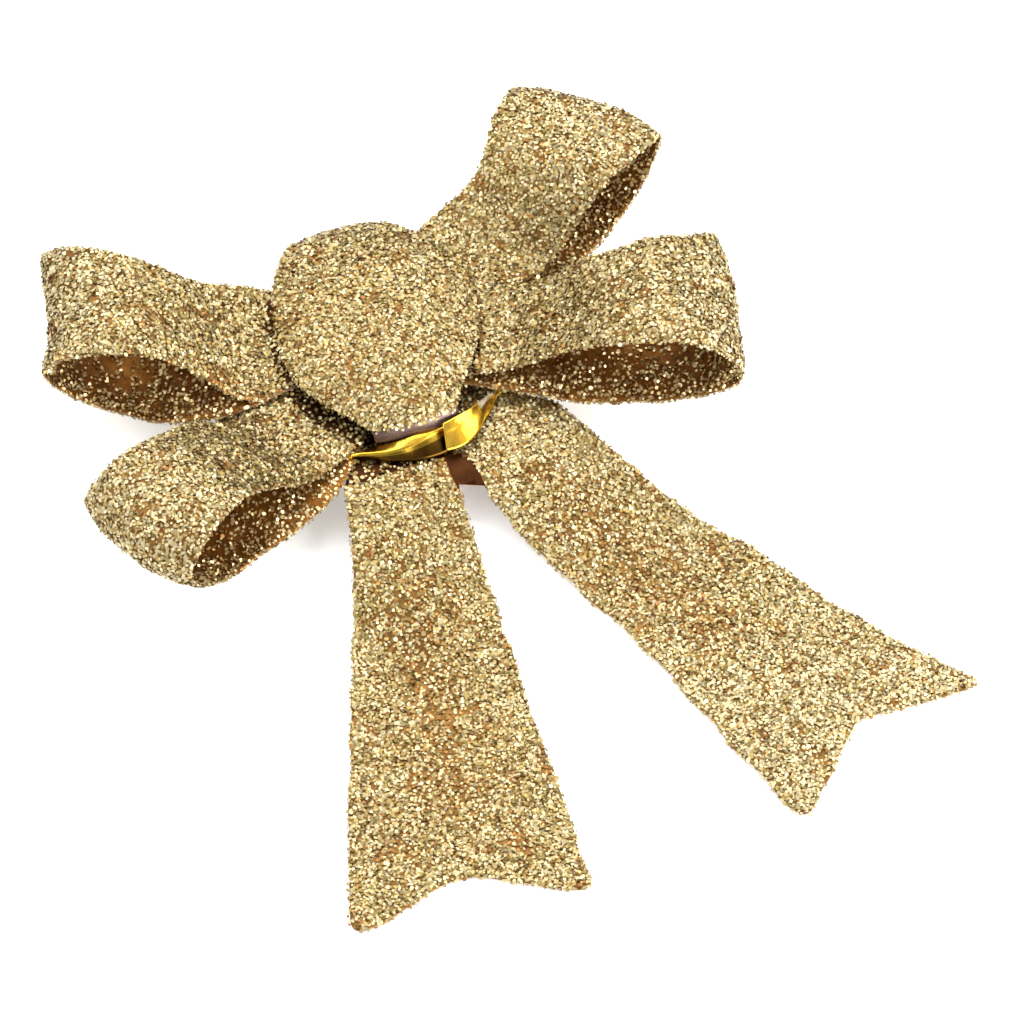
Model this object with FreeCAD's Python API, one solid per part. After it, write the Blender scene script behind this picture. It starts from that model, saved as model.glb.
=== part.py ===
import FreeCAD, Part
import math
import os

os.makedirs("parts", exist_ok=True)
V = FreeCAD.Vector

# Glitter-ribbon hair bow lying on its back on a French barrette.
# Millimetres. +Z leaves the face of the bow, +X runs along the barrette and
# across the loops, and the tails point towards -Y. The origin is on the
# surface that the bow lies on, under the middle of the bow's outline.

# ---- ribbon ----
RIBBON_WIDTH = 38.0          # 1.5 inch ribbon
PINCHED_WIDTH = 26.0         # the same ribbon where the knot gathers it
RIBBON_THICKNESS = 0.9       # film with glitter on both sides
LAYER_GAP = 0.15             # air between stacked strips at the middle
LOOP_SLOT = 0.6              # air between the two layers of one pinched loop band

# ---- loops: reach, lowest and highest centre line, height of the nose ----
UPPER_BAND_ANGLE = -24.2     # degrees from +X to the lower-right loop
LOWER_BAND_ANGLE = 24.6      # degrees from +X to the upper-right loop
UPPER_RIGHT_SIDE = {"reach": 84.0, "belly": 15.5, "crown": 37.5, "nose": 27.5}
UPPER_LEFT_SIDE = {"reach": 77.5, "belly": 12.5, "crown": 36.0, "nose": 27.0}
LOWER_RIGHT_SIDE = {"reach": 78.5, "belly": 7.5, "crown": 30.5, "nose": 21.0}
LOWER_LEFT_SIDE = {"reach": 82.5, "belly": 8.0, "crown": 37.0, "nose": 25.0}
SHORT_FLAT = 26.0            # half of the pressed stretch of an outer layer
LONG_FLAT = 35.0             # half of the pressed stretch where the bands cross

# ---- tails ----
TAIL_ROOT_WIDTH = 26.0
TAIL_END_WIDTH = 54.0
TAIL_ROOT = 38.0             # distance from the bundle's middle to the root
TAIL_NOTCH = 10.0            # depth of the swallow-tail cut
LEFT_TAIL = {"lean": -16.5, "start_x": 0.5, "length": 152.0}
RIGHT_TAIL = {"lean": 22.6, "start_x": 5.5, "length": 159.0}
DRAPE_START = -37.0          # where the tails begin to fall to the surface
DRAPE_END = -82.0            # where they lie flat on it

# ---- knot ----
KNOT_WIDTH = 49.0            # widest, across the domed middle
KNOT_LENGTH = 60.0           # from the lower fold to the upper fold
KNOT_CENTRE = (3.0, 3.6)
KNOT_TURN = -7.0             # degrees, the strip leans a little to the right
KNOT_END_WIDTH = 24.0
KNOT_DOME = 4.6              # rise of the middle above the pressed loops

# ---- barrette ----
BARRETTE_LENGTH = 62.0
BARRETTE_WIDTH = 9.0
BARRETTE_HEIGHT = 8.0        # from the clasp arm's underside to the base's top
SHEET = 0.7                  # thickness of the barrette's sheet metal
PIN_RADIUS = 0.8
PIN_CLEARANCE = 0.05         # radial, between the pin and the swinging arm
PIN_X = 27.0                 # hinge axis, from the bundle's middle
PIN_Z = 3.0
ARM_WIDTH = 6.0
ARM_SIDE_GAP = 0.3           # between the arm's lugs and the base's ears
BAR_HALF_LENGTH = 21.0       # tension bar, half its length along the barrette
BAR_FOOT = 4.5               # its flat riveted end
BAR_THICKNESS = 0.45
RIVET_RADIUS = 0.75
RIVET_X = BAR_HALF_LENGTH - BAR_FOOT / 2

# ---- backing, glue and tie ----
FELT_LENGTH = 66.0
FELT_WIDTH = 20.0
FELT_THICKNESS = 1.0
GLUE_THICKNESS = 0.4
TIE_WIDTH = 6.0
TIE_THICKNESS = 0.35
TIE_CENTRE_Y = -31.7
TIE_WIRE_RADIUS = 0.35
TIE_ENDS = (-26.2, 35.9)     # X of the tie's two side folds

# ---- heights of the stack, from the surface up ----
BASE_TOP = BARRETTE_HEIGHT
FELT_BOTTOM = BASE_TOP + GLUE_THICKNESS
FELT_TOP = FELT_BOTTOM + FELT_THICKNESS
YOKE_BOTTOM = FELT_TOP + GLUE_THICKNESS
YOKE_TOP = YOKE_BOTTOM + RIBBON_THICKNESS
KNOT_BACK = YOKE_TOP + LAYER_GAP + RIBBON_THICKNESS / 2
LOWER_BAND_Z = KNOT_BACK + RIBBON_THICKNESS + LAYER_GAP
BAND_HEIGHT = 2 * RIBBON_THICKNESS + LOOP_SLOT
UPPER_BAND_Z = LOWER_BAND_Z + BAND_HEIGHT + LAYER_GAP
KNOT_FRONT = UPPER_BAND_Z + BAND_HEIGHT + LAYER_GAP

CURVE_SAMPLES = 80           # points on each offset outline
TALL = 120.0                 # taller and deeper than the whole bow


def closed_curve(points):
    curve = Part.BSplineCurve()
    curve.interpolate(Points=points, PeriodicFlag=True)
    return curve


def offset_points(curve, across, distance):
    """Points of a closed curve moved sideways in its plane."""
    first, last = curve.FirstParameter, curve.LastParameter
    moved = []
    for i in range(CURVE_SAMPLES):
        t = first + (last - first) * i / CURVE_SAMPLES
        normal = curve.tangent(t)[0].cross(across)
        normal.normalize()
        moved.append(curve.value(t) + normal * distance)
    return moved


def ring_strip(profile, across, half_width, thickness):
    """A closed ring of strip: profile in a plane, extruded to both sides."""
    centre_line = closed_curve(profile)
    faces = []
    for side in (1, -1):
        edge = closed_curve(offset_points(centre_line, across, side * thickness / 2))
        faces.append(Part.Face(Part.Wire(edge.toShape())))
    faces.sort(key=lambda face: face.Area, reverse=True)
    ring = faces[0].cut(faces[1]).Faces[0]
    ring.translate(across * -half_width)
    return ring.extrude(across * (2 * half_width))


def prism(outline, bottom=-TALL, top=TALL):
    """A vertical prism over a closed list of plan points."""
    points = [V(x, y, bottom) for x, y in outline]
    face = Part.Face(Part.makePolygon(points + points[:1]))
    return face.extrude(V(0, 0, top - bottom))


def block(x_range, y_range, z_range):
    size = [high - low for low, high in (x_range, y_range, z_range)]
    return Part.makeBox(*size, V(x_range[0], y_range[0], z_range[0]))


def rod_along_y(x, z, radius, half_length):
    return Part.makeCylinder(radius, 2 * half_length, V(x, -half_length, z), V(0, 1, 0))


def loop_half(side, bottom, top, bottom_flat, top_flat):
    """One loop's centre line, from the middle out along the bottom and back."""
    reach, belly = side["reach"], side["belly"]
    crown, nose = side["crown"], side["nose"]
    under, over = reach - bottom_flat, reach - top_flat
    flat_places = (0.3, 0.6, 0.8, 1.0)
    pressed = [(place * bottom_flat, bottom) for place in flat_places]
    homeward = [(place * top_flat, top) for place in reversed(flat_places)]
    return pressed + [
        (bottom_flat + 0.33 * under, (bottom + belly) / 2),
        (bottom_flat + 0.62 * under, belly),
        (bottom_flat + 0.90 * under, belly + 0.30 * (nose - belly)),
        (reach, nose),
        (top_flat + 0.88 * over, crown - 0.22 * (crown - nose)),
        (top_flat + 0.62 * over, crown),
        (top_flat + 0.28 * over, top + 0.60 * (crown - top)),
    ] + homeward


def loop_band(angle, bottom, sides, flats):
    """A ring of ribbon pressed flat in the middle, with a loop at each end."""
    top = bottom + RIBBON_THICKNESS + LOOP_SLOT
    right, left = sides
    outward = loop_half(right, bottom, top, *flats)
    homeward = [(-u, z) for u, z in reversed(loop_half(left, bottom, top, *flats))]
    path = outward + [(0, top)] + homeward + [(0, bottom)]
    profile = [V(u, 0, z) for u, z in path]
    ring = ring_strip(profile, V(0, 1, 0), RIBBON_WIDTH / 2, RIBBON_THICKNESS)
    wide, narrow = RIBBON_WIDTH / 2, PINCHED_WIDTH / 2
    waist, far, beyond = 15.0, 75.0, 200.0
    upper_edge = [(-beyond, wide), (-far, wide), (-waist, narrow),
                  (waist, narrow), (far, wide), (beyond, wide)]
    lower_edge = [(u, -v) for u, v in reversed(upper_edge)]
    band = ring.common(prism(upper_edge + lower_edge))
    band.rotate(V(0, 0, 0), V(0, 0, 1), angle)
    return band


def tail_plan(tail):
    """Plan outline of one flared tail with its swallow-tail end."""
    root, end = TAIL_ROOT_WIDTH / 2, TAIL_END_WIDTH / 2
    length = tail["length"]
    local = [(-root, -TAIL_ROOT / 3), (-root, -TAIL_ROOT), (-end, -length),
             (0, -length + TAIL_NOTCH), (end, -length), (root, -TAIL_ROOT),
             (root, -TAIL_ROOT / 3)]
    lean = math.radians(tail["lean"])
    return [(tail["start_x"] + x * math.cos(lean) - y * math.sin(lean),
             x * math.sin(lean) + y * math.cos(lean)) for x, y in local]


def drape_wire_points():
    """Side view of the tails' top face between the yoke and the surface."""
    drop = YOKE_TOP - RIBBON_THICKNESS
    steps = 8
    points = []
    for i in range(steps + 1):
        share = i / steps
        y = DRAPE_START + share * (DRAPE_END - DRAPE_START)
        z = RIBBON_THICKNESS + drop * (1 + math.cos(math.pi * share)) / 2
        points.append(V(-TALL, y, z))
    return points


def drape_curve(points):
    curve = Part.BSplineCurve()
    curve.interpolate(Points=points, InitialTangent=V(0, -1, 0), FinalTangent=V(0, -1, 0))
    return curve.toShape()


def tail_strip():
    """Both tails and the yoke that joins them under the bundle."""
    upper = drape_wire_points()
    lower = [point - V(0, 0, RIBBON_THICKNESS) for point in upper]
    back, front = 40.0, -200.0
    corners = [V(-TALL, back, YOKE_TOP), V(-TALL, front, RIBBON_THICKNESS),
               V(-TALL, front, 0), V(-TALL, back, YOKE_BOTTOM)]
    edges = [
        Part.makeLine(corners[0], upper[0]),
        drape_curve(upper),
        Part.makeLine(upper[-1], corners[1]),
        Part.makeLine(corners[1], corners[2]),
        Part.makeLine(corners[2], lower[-1]),
        drape_curve(lower),
        Part.makeLine(lower[0], corners[3]),
        Part.makeLine(corners[3], corners[0]),
    ]
    wire = Part.Wire(Part.__sortEdges__(edges))
    sheet = Part.Face(wire).extrude(V(2 * TALL, 0, 0))
    yoke = [(-12, 9), (17, 9), (31, -30), (17, -43), (6, -45), (0, -43), (-14, -38), (-21, -30)]
    plan = prism(yoke).fuse([prism(tail_plan(LEFT_TAIL)), prism(tail_plan(RIGHT_TAIL))])
    return sheet.common(plan.removeSplitter())


def knot_outline(half_width, half_length, end_half_width):
    """Closed rounded outline of the knot's face, widest in the middle."""
    points = []
    for side in (1, -1):
        points += [(side * end_half_width, side * half_length),
                   (side * end_half_width * 0.2, side * half_length * 1.02),
                   (-side * end_half_width * 0.85, side * half_length),
                   (-side * half_width * 0.88, side * half_length * 0.55),
                   (-side * half_width, 0)]
    return points


def knot_strip():
    """Centre strip: a domed face, folded over both ends, with a narrow back run."""
    high = KNOT_LENGTH / 2
    fold_z = (KNOT_BACK + KNOT_FRONT) / 2
    fold = (KNOT_FRONT - KNOT_BACK) / 2
    diagonal = fold * math.sqrt(0.5)
    half = [(0, KNOT_FRONT + KNOT_DOME), (high / 2, KNOT_FRONT + 0.72 * KNOT_DOME),
            (high - fold, KNOT_FRONT + 0.1), (high - fold + diagonal, fold_z + diagonal),
            (high, fold_z), (high - fold + diagonal, fold_z - diagonal),
            (high - fold, KNOT_BACK), (high - 1.8 * fold, KNOT_BACK), (high / 2, KNOT_BACK)]
    other_half = [(-y, z) for y, z in reversed(half[1:])]
    profile = [V(0, y, z) for y, z in half + [(0, KNOT_BACK)] + other_half]
    ring = ring_strip(profile, V(1, 0, 0), KNOT_WIDTH, RIBBON_THICKNESS)
    outline = [V(x, y, fold_z) for x, y in
               knot_outline(KNOT_WIDTH / 2, KNOT_LENGTH / 2, KNOT_END_WIDTH / 2)]
    face = Part.Face(Part.Wire(closed_curve(outline).toShape()))
    front = ring.common(face.extrude(V(0, 0, TALL)))
    narrow = 0.42 * KNOT_END_WIDTH
    back = ring.common(block((-narrow, narrow), (-TALL, TALL), (0, fold_z)))
    knot = front.fuse(back).removeSplitter()
    knot.rotate(V(0, 0, 0), V(0, 0, 1), KNOT_TURN)
    knot.translate(V(KNOT_CENTRE[0], KNOT_CENTRE[1], 0))
    return knot


def rounded_ring(x_range, z_range, thickness, y_centre, width):
    """A flattened ring of strip round the Y direction."""
    shapes = []
    for inset in (0, thickness):
        x_low, x_high = x_range[0] + inset, x_range[1] - inset
        z_low, z_high = z_range[0] + inset, z_range[1] - inset
        solid = block((x_low, x_high), (y_centre - width / 2, y_centre + width / 2), (z_low, z_high))
        upright = [edge for edge in solid.Edges
                   if abs(edge.Vertexes[0].Y - edge.Vertexes[1].Y) > width / 2]
        shapes.append(solid.makeFillet((z_high - z_low) * 0.42, upright))
    return shapes[0].cut(shapes[1])


def foil_tie():
    """Foil strip folded round the roots of both tails, over its wire core."""
    wire_room = 2 * TIE_WIRE_RADIUS + 0.12
    z_range = (YOKE_BOTTOM - wire_room - TIE_THICKNESS, YOKE_TOP + wire_room + TIE_THICKNESS)
    return rounded_ring(TIE_ENDS, z_range, TIE_THICKNESS, TIE_CENTRE_Y, TIE_WIDTH)


def tie_wire():
    """Round steel core that lies just inside the foil."""
    inset = TIE_THICKNESS + 0.05 + TIE_WIRE_RADIUS
    low, high = TIE_ENDS[0] + inset, TIE_ENDS[1] - inset
    bottom = YOKE_BOTTOM - 0.06 - TIE_WIRE_RADIUS
    top = YOKE_TOP + 0.06 + TIE_WIRE_RADIUS
    radius = (top - bottom) / 2
    middle = (top + bottom) / 2
    y = TIE_CENTRE_Y
    left, right = low + radius, high - radius
    path = Part.Wire([
        Part.makeLine(V(left, y, top), V(right, y, top)),
        Part.Arc(V(right, y, top), V(high, y, middle), V(right, y, bottom)).toShape(),
        Part.makeLine(V(right, y, bottom), V(left, y, bottom)),
        Part.Arc(V(left, y, bottom), V(low, y, middle), V(left, y, top)).toShape(),
    ])
    section = Part.Wire(Part.makeCircle(TIE_WIRE_RADIUS, V(left, y, top), V(1, 0, 0)))
    return path.makePipeShell([section], True, False)


def felt_backing():
    """Oblong felt pad with round ends."""
    radius = FELT_WIDTH / 2
    straight = FELT_LENGTH / 2 - radius
    pad = block((-straight, straight), (-radius, radius), (FELT_BOTTOM, FELT_TOP))
    ends = [Part.makeCylinder(radius, FELT_THICKNESS, V(x, 0, FELT_BOTTOM))
            for x in (-straight, straight)]
    return pad.fuse(ends).removeSplitter()


def glue_pads():
    """Flattened hot-melt dots on both faces of the felt."""
    dots = []
    for x in (-18.0, 0.0, 18.0):
        dots.append(Part.makeCylinder(3.6, GLUE_THICKNESS, V(x, 0, BASE_TOP)))
    for x in (-8.0, 4.0, 14.0):
        dots.append(Part.makeCylinder(5.0, GLUE_THICKNESS, V(x, 2.0, FELT_TOP)))
    return Part.makeCompound(dots)


def barrette_base():
    """Top plate with round ends, two hinge ears and two catch cheeks."""
    half_length, half_width = BARRETTE_LENGTH / 2, BARRETTE_WIDTH / 2
    plate_bottom = BASE_TOP - SHEET
    plate = block((-half_length, half_length), (-half_width, half_width), (plate_bottom, BASE_TOP))
    corners = [edge for edge in plate.Edges
               if abs(edge.Vertexes[0].Z - edge.Vertexes[1].Z) > SHEET / 2]
    base = plate.makeFillet(0.45 * BARRETTE_WIDTH, corners)
    ear_inner = ARM_WIDTH / 2 + ARM_SIDE_GAP
    ear_reach = 2.2
    for side in (1, -1):
        y_pair = sorted((side * ear_inner, side * (ear_inner + SHEET)))
        ear = block((PIN_X - ear_reach, PIN_X + ear_reach), y_pair, (PIN_Z, plate_bottom))
        tip = Part.makeCylinder(ear_reach, SHEET, V(PIN_X, y_pair[0], PIN_Z), V(0, 1, 0))
        cheek = block((-half_length + 2.2, -half_length + 7.2), y_pair, (1.6, plate_bottom))
        foot = Part.makeCylinder(2.5, SHEET, V(-half_length + 4.7, y_pair[0], 2.5), V(0, 1, 0))
        foot = foot.common(block((-TALL, TALL), (-TALL, TALL), (1.0, 2.5)))
        base = base.fuse([ear, tip, cheek.fuse(foot)])
    hole = rod_along_y(PIN_X, PIN_Z, PIN_RADIUS, BARRETTE_WIDTH)
    return base.cut(hole).removeSplitter()


def hinge_pin():
    """Pin through both ears, with its two peened ends."""
    ear_outer = ARM_WIDTH / 2 + ARM_SIDE_GAP + SHEET
    pin = rod_along_y(PIN_X, PIN_Z, PIN_RADIUS, ear_outer)
    for side in (1, -1):
        head = Part.makeCylinder(1.35 * PIN_RADIUS, 0.35, V(PIN_X, side * ear_outer, PIN_Z),
                                 V(0, side, 0))
        pin = pin.fuse(head)
    return pin


def clasp_arm():
    """Swinging channel: a flat web, two low flanges and two hinge lugs."""
    half = ARM_WIDTH / 2
    free_end = -BARRETTE_LENGTH / 2 + 1.2
    web_end = PIN_X - 2.6
    arm = block((free_end, web_end), (-half, half), (0, SHEET))
    lug_radius = 2.0
    for side in (1, -1):
        y_pair = sorted((side * half, side * (half - SHEET)))
        flange = block((free_end + 6.5, PIN_X), y_pair, (0, 2.0))
        heel = block((PIN_X, PIN_X + lug_radius), y_pair, (-1, PIN_Z - lug_radius))
        lug = Part.makeCylinder(lug_radius, SHEET, V(PIN_X, y_pair[0], PIN_Z), V(0, 1, 0))
        neck = block((PIN_X - 5.0, PIN_X), y_pair, (1.0, PIN_Z + 0.6))
        arm = arm.fuse([flange, lug, neck]).cut(heel)
    lip = block((free_end - 0.9, free_end + SHEET - 0.9), (-half, half), (0, 2.4))
    bridge = block((free_end - 0.9, free_end + 1.0), (-half, half), (0, SHEET))
    arm = arm.fuse([lip, bridge])
    return arm.cut(rod_along_y(PIN_X, PIN_Z, PIN_RADIUS + PIN_CLEARANCE, ARM_WIDTH)).removeSplitter()


def tension_bar():
    """Bowed spring strip under the base plate, flat at its riveted ends."""
    half_width, thickness = 2.0, BAR_THICKNESS
    plate_bottom = BASE_TOP - SHEET
    end, foot, sag = BAR_HALF_LENGTH, BAR_FOOT, 2.6
    top = [V(-end, 0, plate_bottom), V(-end + foot, 0, plate_bottom),
           V(0, 0, plate_bottom - sag), V(end - foot, 0, plate_bottom), V(end, 0, plate_bottom)]
    drop = V(0, 0, -thickness)
    arch = Part.Arc(top[1], top[2], top[3]).toShape()
    under_arch = Part.Arc(top[1] + drop, top[2] + drop, top[3] + drop).toShape()
    edges = [
        Part.makeLine(top[0], top[1]), arch, Part.makeLine(top[3], top[4]),
        Part.makeLine(top[4], top[4] + drop), Part.makeLine(top[4] + drop, top[3] + drop),
        under_arch, Part.makeLine(top[1] + drop, top[0] + drop),
        Part.makeLine(top[0] + drop, top[0]),
    ]
    face = Part.Face(Part.Wire(Part.__sortEdges__(edges)))
    face.translate(V(0, -half_width, 0))
    bar = face.extrude(V(0, 2 * half_width, 0))
    for x in (-RIVET_X, RIVET_X):
        bar = bar.cut(Part.makeCylinder(RIVET_RADIUS, TALL, V(x, 0, 0)))
    return bar


def bar_rivets():
    """Two rivets that hold the ends of the tension bar."""
    plate_bottom = BASE_TOP - SHEET
    rivets = []
    for x in (-RIVET_X, RIVET_X):
        foot = V(x, 0, plate_bottom - BAR_THICKNESS)
        shank = Part.makeCylinder(RIVET_RADIUS, BAR_THICKNESS, foot)
        head = Part.makeCylinder(1.9 * RIVET_RADIUS, 0.5, foot - V(0, 0, 0.5))
        rivets.append(shank.fuse(head).removeSplitter())
    return Part.makeCompound(rivets)


def build():
    return {
        "loop_band_upper": loop_band(UPPER_BAND_ANGLE, UPPER_BAND_Z,
                                     (UPPER_RIGHT_SIDE, UPPER_LEFT_SIDE),
                                     (LONG_FLAT, SHORT_FLAT)),
        "loop_band_lower": loop_band(LOWER_BAND_ANGLE, LOWER_BAND_Z,
                                     (LOWER_RIGHT_SIDE, LOWER_LEFT_SIDE),
                                     (SHORT_FLAT, LONG_FLAT)),
        "tail_strip": tail_strip(),
        "knot_strip": knot_strip(),
        "foil_tie": foil_tie(),
        "tie_wire": tie_wire(),
        "felt_backing": felt_backing(),
        "glue_pads": glue_pads(),
        "barrette_base": barrette_base(),
        "tension_bar": tension_bar(),
        "bar_rivets": bar_rivets(),
        "hinge_pin": hinge_pin(),
        "clasp_arm": clasp_arm(),
    }


def to_origin(shapes):
    """How far the model moves to stand centred over the origin."""
    whole = Part.makeCompound(list(shapes.values()))
    box = whole.optimalBoundingBox(True, False)
    return V(-(box.XMin + box.XMax) / 2, -(box.YMin + box.YMax) / 2, -box.ZMin)


shapes = build()
move = to_origin(shapes)
print("moved by", round(move.x, 4), round(move.y, 4), round(move.z, 4))
for name, shape in shapes.items():
    shape.translate(move)
    shape.exportStep("parts/" + name + ".step")
    box = shape.BoundBox
    print(name, "valid", shape.isValid(), "solids", len(shape.Solids), "volume",
          round(shape.Volume, 1), "z", round(box.ZMin, 2), round(box.ZMax, 2))
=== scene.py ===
import bmesh
import bpy
import math
import numpy as np
from mathutils import Matrix, Vector


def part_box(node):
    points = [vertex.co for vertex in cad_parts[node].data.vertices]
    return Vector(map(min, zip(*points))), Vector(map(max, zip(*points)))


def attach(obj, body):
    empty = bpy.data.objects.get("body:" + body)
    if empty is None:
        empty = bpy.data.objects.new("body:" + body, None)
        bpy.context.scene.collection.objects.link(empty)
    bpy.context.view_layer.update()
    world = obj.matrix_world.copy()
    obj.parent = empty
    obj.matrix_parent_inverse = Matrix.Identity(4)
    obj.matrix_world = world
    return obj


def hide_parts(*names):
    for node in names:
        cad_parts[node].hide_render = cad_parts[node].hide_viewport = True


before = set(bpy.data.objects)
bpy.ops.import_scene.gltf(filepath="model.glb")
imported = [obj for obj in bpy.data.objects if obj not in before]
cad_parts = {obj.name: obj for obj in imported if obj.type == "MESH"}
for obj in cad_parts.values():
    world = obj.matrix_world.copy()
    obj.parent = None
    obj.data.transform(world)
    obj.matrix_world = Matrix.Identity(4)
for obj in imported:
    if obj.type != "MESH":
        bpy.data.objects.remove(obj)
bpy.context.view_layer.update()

# A glitter-ribbon hair bow. The shapes below are in millimetres from the point
# on the surface under the middle of the felt backing, and mesh_piece() moves
# them into the frame, in metres.
MM = 0.001
felt_low, felt_high = (np.array(corner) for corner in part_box("felt_backing"))
ORIGIN = np.array([*(felt_low + felt_high)[:2] / 2, 0.0])
BOW = "bow"


# ---- measures ----
FILM = 0.32                  # thickness of the bare film
FOIL_THICKNESS = 0.12
UPPER_ANGLE = math.radians(-24.2)
LOWER_ANGLE = math.radians(24.6)
LAYER = 1.5                  # between the two layers of a pinched band
BAND_GAP = 1.05              # between the middles of two bands that touch
BAND_LENGTH = 370.0          # about, for the ripples round a loop band

# Heights in the pinched middle, from the tails up.
YOKE_Z = 10.25
LOWER_Z = 12.35
UPPER_Z = 14.9
KNOT_BACK_Z = 11.9

# The loops, each named for its band and its side: how far out its nose is, its
# lowest, highest and nose heights, the slant and bulge of the nose, and its two
# edges at ten stations, from the knot out along the bottom, round the nose and
# back along the top. An edge row is the near edge, the far edge and how much
# lower the near edge hangs.
LOOPS = {
    "upper_right": dict(
        reach=84.0, belly=15.0, crown=34.0, nose=27.5, slant=-0.11, bulge=1.0,
        edges=[(-14.0, 12.0, 1.0), (-16.6, 14.0, 1.6), (-17.9, 16.5, 0.6), (-18.6, 18.4, 0),
               (-19.0, 20.0, 0), (-16.6, 17.2, 0), (-14.7, 14.4, 0), (-10.8, 12.8, 0),
               (-10.8, 12.0, 0), (-11.5, 12.0, 0)]),
    "upper_left": dict(
        reach=77.3, belly=11.2, crown=31.0, nose=27.0, slant=0.03, bulge=-0.5,
        edges=[(-19.0, 12.0, 1.2), (-20.6, 13.4, 2.2), (-17.0, 16.0, 1.2), (-15.6, 17.4, 0),
               (-16.2, 17.6, 0), (-15.2, 16.8, 0), (-14.4, 14.4, 0), (-14.2, 11.8, 0.4),
               (-16.8, 14.0, 2.6), (-13.0, 12.0, 0.6)]),
    "lower_right": dict(
        reach=79.0, belly=8.0, crown=26.8, nose=24.0, slant=-0.25, bulge=2.8,
        edges=[(-12.0, 11.0, 0), (-16.6, 12.2, 1.0), (-19.2, 15.5, 0.2), (-18.6, 17.6, -1.5),
               (-18.6, 18.6, -3.6), (-18.2, 17.6, -1.0), (-17.0, 15.0, 0.2), (-16.4, 10.6, 4.0),
               (-14.6, 13.2, 2.4), (-12.5, 12.0, 0.6)]),
    "lower_left": dict(
        reach=82.9, belly=8.6, crown=31.0, nose=25.5, slant=0.0, bulge=3.1,
        edges=[(-15.8, 11.0, 0.4), (-19.6, 12.4, 1.0), (-16.6, 15.5, 0), (-16.0, 16.6, 0),
               (-15.2, 16.8, 0), (-14.6, 16.2, 0), (-13.2, 14.4, 0), (-12.6, 14.4, 0),
               (-14.8, 14.4, 0.8), (-15.2, 13.0, 0.6)]),
}
ROWS, COLUMNS = 330, 37      # of a loop band's grid

# The tails' edges in plan, each from its root corner round its notched end. The
# glitter is worn along WORN_LINE, and there is none on BARE_WEB, between the roots,
# whose bare film is painted near black as the shade under the foil.
LEFT_TAIL = [
    (-22.9, -32.7), (-29.6, -53.0), (-43.6, -81.0), (-61.0, -117.0), (-68.8, -134.6),
    (-69.0, -137.2), (-67.4, -138.9), (-58.0, -138.2), (-47.0, -135.4), (-42.7, -134.8),
    (-37.5, -137.0), (-22.6, -147.2), (-17.6, -150.0), (-15.6, -149.2), (-14.2, -144.5),
    (-10.0, -116.5), (-4.6, -84.5), (-1.0, -62.0), (0.4, -48.0), (1.9, -42.8)]
RIGHT_TAIL = [
    (7.2, -45.3), (9.6, -57.5), (16.2, -73.0), (22.6, -92.0), (26.6, -108.5), (30.8, -132.0),
    (35.2, -150.5), (36.8, -153.6), (39.6, -153.0), (46.6, -146.8), (55.3, -139.0),
    (59.8, -135.8), (65.0, -136.6), (84.0, -139.4), (88.4, -139.0), (89.6, -136.4),
    (84.0, -129.8), (72.8, -111.8), (58.6, -83.0), (46.4, -63.0), (39.6, -50.0),
    (35.4, -38.5), (32.2, -30.8)]
YOKE_RIGHT = [(23.4, -23.0), (17.0, 8.0)]
YOKE_LEFT = [(-12.0, 8.0), (-18.2, -25.0)]
BARE_WEB = [(2.5, -34.0), (0.6, -40.1), (1.4, -43.6), (7.6, -46.2), (7.8, -41.9), (6.8, -35.5)]
WORN_LINE = {"left": ((-15.0, -50.0), (-38.0, -128.0)), "right": ((18.0, -44.0), (46.0, -112.0))}
DRAPE_START, DRAPE_END = -37.0, -82.0   # the tails come down between these
TAIL_REST_Z = 1.00           # centre of the film where a tail lies on the surface

# The knot strip, in its own axes: place along it, height, left and right edges,
# and the dome of its face. It starts in the middle of the face.
KNOT_CENTRE = (3.0, 3.6)
KNOT_TURN = math.radians(-7.0)
KNOT_ROWS = [
    (-2.0, 18.9, -25.2, 23.2, 3.6), (9.0, 19.0, -23.5, 24.4, 3.4), (19.0, 18.7, -19.6, 18.2, 2.6),
    (25.0, 17.9, -15.6, 11.6, 1.5), (28.2, 15.8, -12.6, 8.8, 0.8), (28.0, 13.2, -11.4, 8.8, 0.4),
    (24.0, KNOT_BACK_Z, -10.0, 9.0, 0), (0.0, KNOT_BACK_Z, -10.0, 10.0, 0),
    (-24.0, KNOT_BACK_Z, -10.0, 9.0, 0), (-29.4, 11.9, -10.6, 8.6, 0.4),
    (-31.2, 14.0, -11.2, 8.8, 0.8), (-30.2, 16.6, -11.8, 9.4, 1.1),
    (-26.0, 17.9, -15.0, 11.2, 1.6), (-19.5, 18.5, -20.6, 16.0, 2.6),
    (-11.5, 18.8, -24.6, 20.6, 3.4)]
BARE_FOLD_Z = 17.3           # below this height the knot strip has no glitter

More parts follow.
